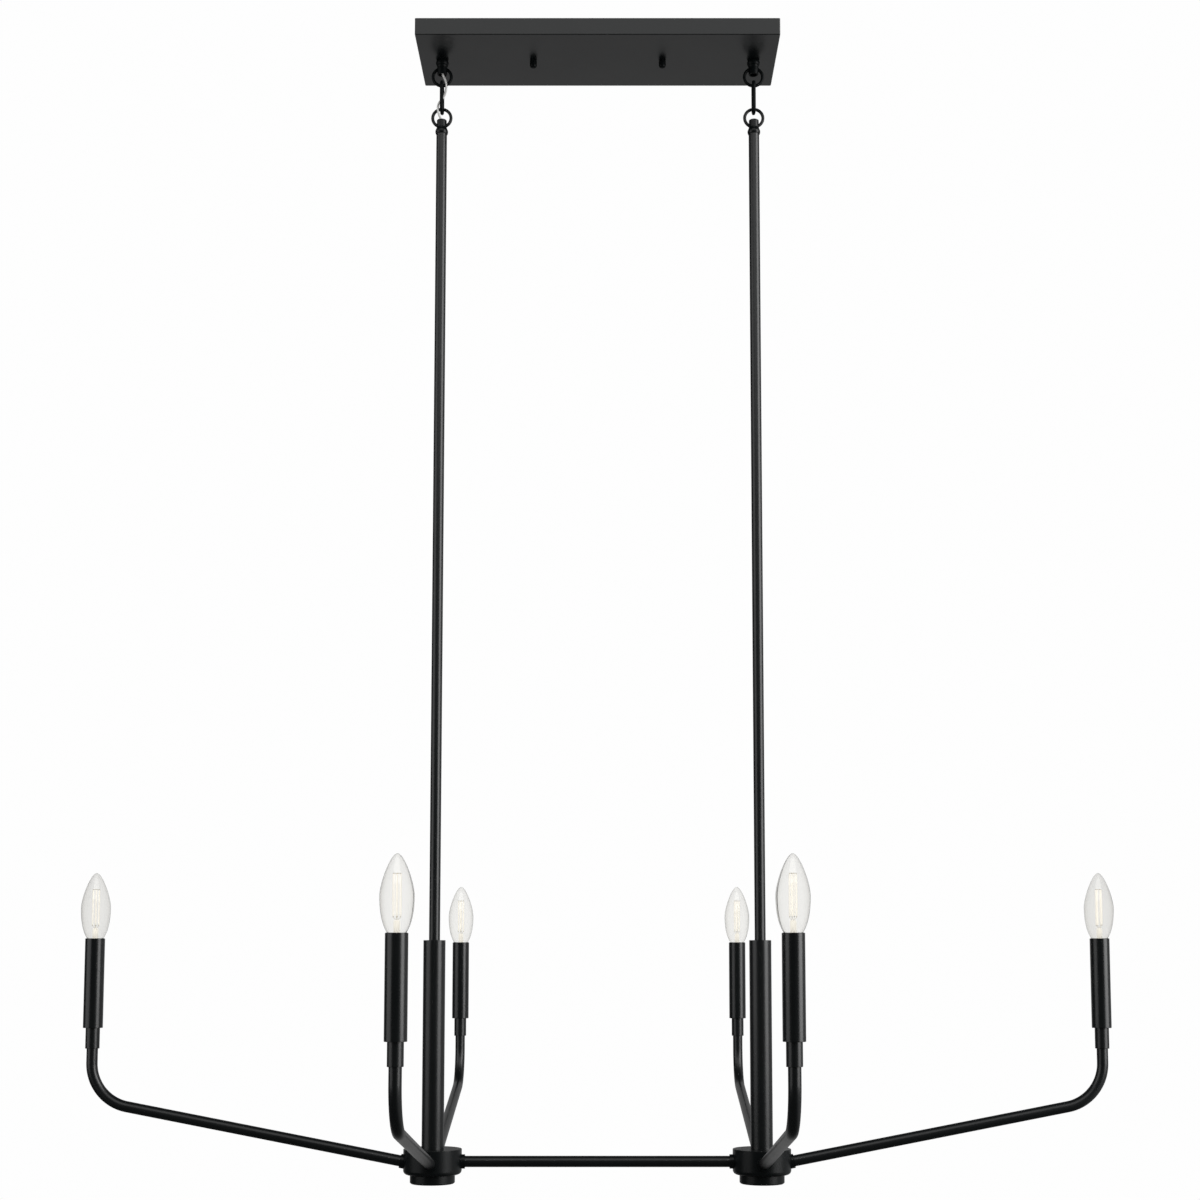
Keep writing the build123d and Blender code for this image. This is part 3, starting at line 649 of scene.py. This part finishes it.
def filament_wires():
    """One filament's metal ends, its lead into the glass mount and its share of the upper ring."""
    low, high = (height * MM for height in FILAMENT_SPAN)
    circle, tab = FILAMENT_CIRCLE * MM, TAB_LENGTH * MM
    ends = [
        bar_shape(circle, TAB_RADIUS * MM, height - tab / 2, height + tab / 2, TAB_SIDES)
        for height in (low, high)
    ]
    route = [Vector((x, 0, z)) * MM for x, z in LEAD_ROUTE]
    lead = tube(route, LEAD_RADIUS * MM, LEAD_SIDES)
    share = 2 * pi / FILAMENT_COUNT / RING_STEPS
    arc = [
        Vector((circle * cos(step * share), circle * sin(step * share), RING_HEIGHT * MM))
        for step in range(RING_STEPS + 1)
    ]
    return joined(*ends, lead, tube(arc, LEAD_RADIUS * MM, LEAD_SIDES, closed_ends=False))


def copies_about_axis():
    """The tree that sets copies of one form evenly about an upright axis."""
    tree = Shape("copies_about_axis", {
        "Form": "Object", "Count": "Int", "Turn": "Float", "Axis": "Vector",
    })
    form = tree.node("GeometryNodeObjectInfo", {}, {
        "Object": tree.given("Form"),
    }, output="Geometry")
    points = tree.node("GeometryNodeMeshLine", {}, {
        "Count": tree.given("Count"), "Start Location": tree.given("Axis"), "Offset": (0, 0, 0),
    })
    share = 2 * pi / tree.given("Count")
    turn = tree.given("Turn") + tree.node("GeometryNodeInputIndex") * share
    turned_by = tree.node("ShaderNodeCombineXYZ", {}, {"Z": turn})
    tree.close(tree.node("GeometryNodeInstanceOnPoints", {}, {
        "Points": points, "Instance": form, "Rotation": turned_by,
    }))
    return tree


def form_object(name, shape):
    """A form that a tree copies. It is taken away once the copies are made."""
    form = bpy.data.objects.new(name, plain_mesh(name, *shape))
    bpy.context.scene.collection.objects.link(form)
    return form


def add_lamps(tree, glass, metal):
    """Fits out the six lamps, and gives back their envelopes."""
    # both finishes carry a painted glow
    coat = cream_with_painted_glow("phosphor", FILAMENT_PAINTED_GLOW)
    pressed = cream_with_painted_glow("pressed_glass", MOUNT_PAINTED_GLOW)
    bar = form_object("filament_bar", filament_bar())
    wires = form_object("filament_wires", filament_wires())
    sets = (
        ("filaments", bar, coat, "filament"),
        ("filament_wires", wires, metal, "lamp_base_metal"),
    )
    envelopes = []
    for body in [body for body in BODIES if body.startswith("lamp_")]:
        place = body.removeprefix("lamp_")
        low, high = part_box(f"lamp_glass_{place}")
        centre = ((low.x + high.x) / 2, (low.y + high.y) / 2, high.z - LAMP_TIP * MM)
        envelope = add_piece(f"glass_{place}", *lamp_glass_shape(centre), body, "clear_glass")
        envelope.data.materials.append(glass)
        mount = add_piece(f"glass_mount_{place}", *glass_mount_shape(centre), body, "clear_glass")
        mount.data.materials.append(pressed)
        for piece in (envelope, mount):
            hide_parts(f"lamp_glass_{place}")
        envelopes.append(envelope)
        for name, form, finish, slot in sets:
            piece = tree.make(f"{name}_{place}", plain_mesh(name, []), {
                "Form": form, "Count": FILAMENT_COUNT, "Turn": radians(FILAMENT_TURN),
                "Axis": centre, "Finish": finish,
            })
            settle(piece, body)
            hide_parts(f"lamp_filaments_{place}")
    for _, form, *_ in sets:
        bpy.data.objects.remove(form)
    return envelopes


# ---- Bent arms
def bent_tube():
    """The tree that rounds the corner of a line and lays a closed tube along it."""
    tree = Shape("bent_tube", {
        "Line": "Geometry", "Bend": "Float", "Radius": "Float", "Steps": "Int", "Sides": "Int",
    })
    line = tree.node("GeometryNodeMeshToCurve", {}, {"Mesh": tree.given("Line")})
    bent = tree.node("GeometryNodeFilletCurve", {"mode": "POLY"}, {
        "Curve": line, "Radius": tree.given("Bend"), "Count": tree.given("Steps"),
    })
    ring = tree.node("GeometryNodeCurvePrimitiveCircle", {}, {
        "Radius": tree.given("Radius"), "Resolution": tree.given("Sides"),
    })
    tree.close(tree.node("GeometryNodeCurveToMesh", {}, {
        "Curve": bent, "Profile Curve": ring, "Fill Caps": True,
    }))
    return tree


def add_arms(tree, paint):
    for place, turn in ARM_TURNS.items():
        node = f"arm_{place}"
        side = place.split("_")[0]
        low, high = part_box(f"hub_{side}")
        axis = Vector(((low.x + high.x) / 2, 0, 0))
        middle = (low.z + high.z) / 2
        out = Vector((cos(radians(turn)), sin(radians(turn)), 0)) * MM
        rise = tan(radians(ARM_SLOPE)) * MM
        corners = [
            axis + out * reach + Vector((0, 0, middle + (reach - HUB_RADIUS) * rise))
            for reach in (ARM_START, ARM_REACH)
        ]
        corners.append(Vector((*corners[-1].xy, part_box(node)[1].z)))
        line = plain_mesh(node, corners, edges=[(0, 1), (1, 2)])
        piece = tree.make(f"{node}_tube", line, {
            "Bend": ARM_BEND * MM, "Radius": ARM_RADIUS * MM, "Steps": ARM_BEND_STEPS,
            "Sides": ARM_SIDES, "Finish": paint,
        })
        settle(piece, "hanging_frame")
        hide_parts(node)


# ---- Nuts under the canopy
def nut_body(centre):
    """A turned knob with a chamfer above and a dome below."""
    side = NUT_RADIUS - KNURL_RADIUS * KNURL_RELIEF
    dome = [(side - inset, height - NUT_HEIGHT) for inset, height in NUT_DOME]
    outline = [(0, 0), (side - NUT_CHAMFER, 0), (side, -NUT_CHAMFER), *dome, (0, -NUT_HEIGHT)]
    return turned([(x * MM, z * MM) for x, z in outline], NUT_SIDES, centre)


def add_nuts(tree, paint):
    ridge = form_object("knurl", bar_shape(
        (NUT_RADIUS - KNURL_RADIUS) * MM, KNURL_RADIUS * MM,
        (KNURL_FOOT - NUT_HEIGHT) * MM, -KNURL_TOP * MM, KNURL_SIDES,
    ))
    low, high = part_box("canopy_thumb_nuts")
    bodies, knurls = [], []
    for x in (low.x + NUT_RADIUS * MM, high.x - NUT_RADIUS * MM):
        centre = (x, 0, high.z)
        bodies.append(nut_body(centre))
        knurl = tree.make("knurl_ring", plain_mesh("knurl_ring", []), {
            "Form": ridge, "Count": KNURL_COUNT, "Turn": 0.0, "Axis": centre, "Finish": paint,
        })
        knurls.append(knurl)
    bpy.data.objects.remove(ridge)
    for number, knurl in enumerate(knurls):
        settle(knurl, "ceiling_assembly").name = f"nut_knurls_{number + 1}"
    body = add_piece("nut_bodies", *joined(*bodies), "ceiling_assembly", "black_paint")
    body.data.materials.append(paint)
    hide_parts("canopy_thumb_nuts")


# ---- Finishes of the pieces that keep their own shape
def dress(material, slot, *names):
    for name in names:
        piece = NODES[name]
        if not piece.material_slots:
            piece.data.materials.append(material)
        for entry in piece.material_slots:
            entry.material = material


def named(*starts):
    return [name for name in NODES if name.startswith(starts)]


def dress_all(paint, loop_paint, plate):
    dress(
        paint, "black_paint",
        *named("canopy_pan", "rods_", "column", "centre_bar", "candle_cups"),
    )
    dress(painted_steel("sleeve_paint", roughness=0.28), "black_paint", "candle_sleeves")
    dress(
        painted_steel("casting_paint", roughness=0.3, gloss_index=1.4), "black_paint",
        *named("rod_loop", "hub_left", "hub_right", "hub_caps", "tube_collars"),
    )
    # painted shade: the loops and links take the duller copy of the paint
    dress(loop_paint, "black_paint", *named("canopy_loop", "link_"))
    dress(
        plated_steel("zinc_plate", ZINC, roughness=0.35), "zinc_plate",
        "mounting_strap", "strap_studs", "stud_lock_nuts", "loop_nipples",
        "loop_lock_washers", "loop_hex_nuts", "threaded_nipples", "hub_lock_nuts",
    )
    dress(plate, "lamp_base_metal", *named("lamp_base"))
    dress(
        moulded_plastic("green_screw", SCREW_GREEN, roughness=0.35), "green_screw",
        "ground_screw",
    )
    dress(
        moulded_plastic("socket_plastic", SOCKET_BLACK, roughness=0.45), "socket_plastic",
        "lamp_sockets",
    )
    dress(
        moulded_plastic("connector_plastic", CONNECTOR_ORANGE, roughness=0.4), "connector_plastic",
        "wire_connectors", "hub_connectors",
    )
    dress(
        moulded_plastic("wire_jacket", WIRE_GREY, roughness=0.35), "cord_jacket",
        "canopy_wiring", "frame_wiring",
    )


# ---- Stage and light
def add_floor():
    """A round pale floor that fades out before it ends."""
    rim = [
        (FLOOR_REACH * cos(angle), FLOOR_REACH * sin(angle), FLOOR_HEIGHT)
        for angle in (2 * pi * side / FLOOR_SIDES for side in range(FLOOR_SIDES))
    ]
    floor = bpy.data.objects.new("floor", plain_mesh("floor", rim, [tuple(range(FLOOR_SIDES))]))
    bpy.context.scene.collection.objects.link(floor)
    floor.visible_glossy = False
    pale = Finish("pale_floor", {
        "Base Color": (0.86, 0.86, 0.86, 1), "Roughness": 0.8, "IOR": 1.3,
        "Emission Strength": FLOOR_GLOW,
    })
    seen = pale.node("ShaderNodeLightPath", output="Is Camera Ray")
    pale.set({"Emission Color": pale.shade(seen, (0, 0, 0), (1, 1, 1))})
    flat = pale.node("ShaderNodeVectorMath", {"operation": "MULTIPLY"}, {
        0: pale.place, 1: (1, 1, 0),
    })
    distance = pale.node("ShaderNodeVectorMath", {"operation": "LENGTH"}, {
        0: flat,
    }, output="Value")
    fade = pale.node("ShaderNodeMapRange", {}, {
        "Value": distance, "From Min": FLOOR_FADE[0], "From Max": FLOOR_FADE[1],
    })
    clear = pale.node("ShaderNodeBsdfTransparent")
    blend = pale.node("ShaderNodeMixShader", {}, {0: fade, 2: clear})
    pale.tree.links.new(pale.shader.outputs[0], blend.output.node.inputs[1])
    pale.tree.links.new(blend.output, pale.tree.nodes["Material Output"].inputs["Surface"])
    floor.data.materials.append(pale.material)


def add_world():
    """A white room for the camera and for glass, and a dark one with two pale walls for gloss."""
    world = bpy.data.worlds.new("pale_room")
    bpy.context.scene.world = world
    world.use_nodes = True
    room = Tree(world.node_tree)
    camera, gloss, glass = (
        room.node("ShaderNodeLightPath", output=kind)
        for kind in ("Is Camera Ray", "Is Glossy Ray", "Is Transmission Ray")
    )
    toward = room.node("ShaderNodeTexCoord", output="Generated")
    depth = room.node("ShaderNodeSeparateXYZ", {}, {"Vector": toward}, output="Y")
    aside = room.node("ShaderNodeSeparateXYZ", {}, {"Vector": toward}, output="X")
    far_wall = room.step(depth, FAR_SPAN, 0.0, FAR_LEVEL)
    side_wall = room.step(aside, SIDE_SPAN, 0.0, SIDE_LEVEL)
    walls = far_wall + side_wall + DARK_LEVEL
    wall_ends = room.step(abs(aside), WALL_END_SPAN, 1.0, WALL_END_LEVEL)
    seen = camera.sum("MAXIMUM", camera, glass * wall_ends)
    unseen = gloss * walls + (1 - gloss) * ROOM_LIGHT
    background = room.tree.nodes["Background"]
    background.inputs["Color"].default_value = (1, 1, 1, 1)
    room.feed(background.inputs["Strength"], seen * WHITE_LEVEL + (1 - seen) * unseen)


def add_softbox(name, place, aim, size, level, passed_by=()):
    """A flat lamp as bright to see as its level, where 1 is white. It passes some pieces by."""
    lamp = bpy.data.lights.new(name, "AREA")
    lamp.shape = "RECTANGLE"
    lamp.size, lamp.size_y = size
    lamp.energy = level * pi * size[0] * size[1]
    holder = bpy.data.objects.new(name, lamp)
    bpy.context.scene.collection.objects.link(holder)
    holder.location = place
    holder.rotation_euler = (Vector(aim) - Vector(place)).to_track_quat("-Z", "Y").to_euler()
    holder.visible_camera = False
    if passed_by:
        unlit = bpy.data.collections.new(f"{name}_passes_by")
        for piece in passed_by:
            unlit.objects.link(piece)
        holder.light_linking.receiver_collection = unlit
        for entry in unlit.collection_objects:
            entry.light_linking.link_state = "EXCLUDE"


add_camera()
add_cord(cord_jacket())
black = painted_steel("black_paint", roughness=0.32)
# Painted shade: a copy of the black paint that reflects less, so that the canopy's loops, the
# links and the nuts read darker, standing in for the shade under the canopy.
shade_dimmed_black = painted_steel("loop_paint", roughness=0.42, gloss_index=1.22)
plate = plated_steel("lamp_base_metal", BASE_METAL, roughness=0.3)
copies = copies_about_axis()
envelopes = add_lamps(copies, clear_glass(), plate)
add_arms(bent_tube(), black)
# the nuts take the duller copy of the paint too: painted shade
add_nuts(copies, shade_dimmed_black)
dress_all(black, shade_dimmed_black, plate)
add_floor()
add_world()
add_softbox(
    "right_softbox", place=(2.1, -1.08, -0.05), aim=(0, 0, -0.4), size=(1.6, 2.6), level=3.6,
    passed_by=envelopes,
)
add_softbox(
    "left_softbox", place=(-2.3, -1.1, -0.15), aim=(0, 0, -0.4), size=(2.1, 2.6), level=1.05,
    passed_by=envelopes,
)
add_softbox("front_softbox", place=(0, -2.04, 1.17), aim=(0, 0, -0.6), size=(3.0, 2.1), level=0.9)
bpy.context.scene.view_settings.view_transform = "Standard"
